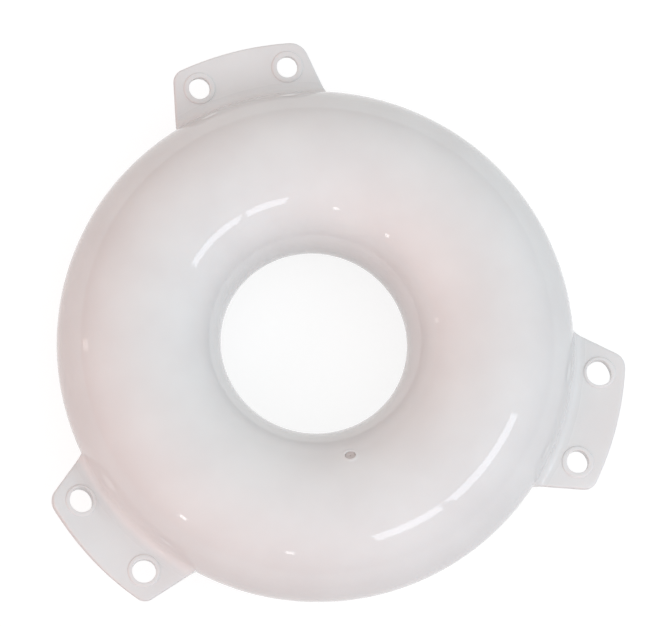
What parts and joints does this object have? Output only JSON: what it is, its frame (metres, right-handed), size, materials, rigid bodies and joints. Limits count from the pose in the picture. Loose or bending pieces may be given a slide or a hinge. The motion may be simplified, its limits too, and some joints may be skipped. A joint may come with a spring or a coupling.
{
  "type": "ring fender",
  "caption": "Inflatable ring fender of glossy white soft plastic: a hollow tube ring with flat rope lugs round its outside, each with beaded eyelets, and a small valve in its upper face.",
  "frame": {"origin": "centre of the ring, in the middle plane of the tube and the lugs", "axes": "+Z along the ring's axis, out of the face that holds the valve; +Y along the middle of one lug, with the valve on the side away from it"},
  "size_m": [0.5712, 0.5509, 0.16],
  "materials": {
    "soft_pvc": "glossy white soft PVC, moulded, slightly matt on the lugs",
    "valve_rubber": "grey-brown valve rubber, dull"
  },
  "bodies": {
    "root": {"ring_body": "soft_pvc", "valve_plug": "valve_rubber"}
  },
  "joints": []
}
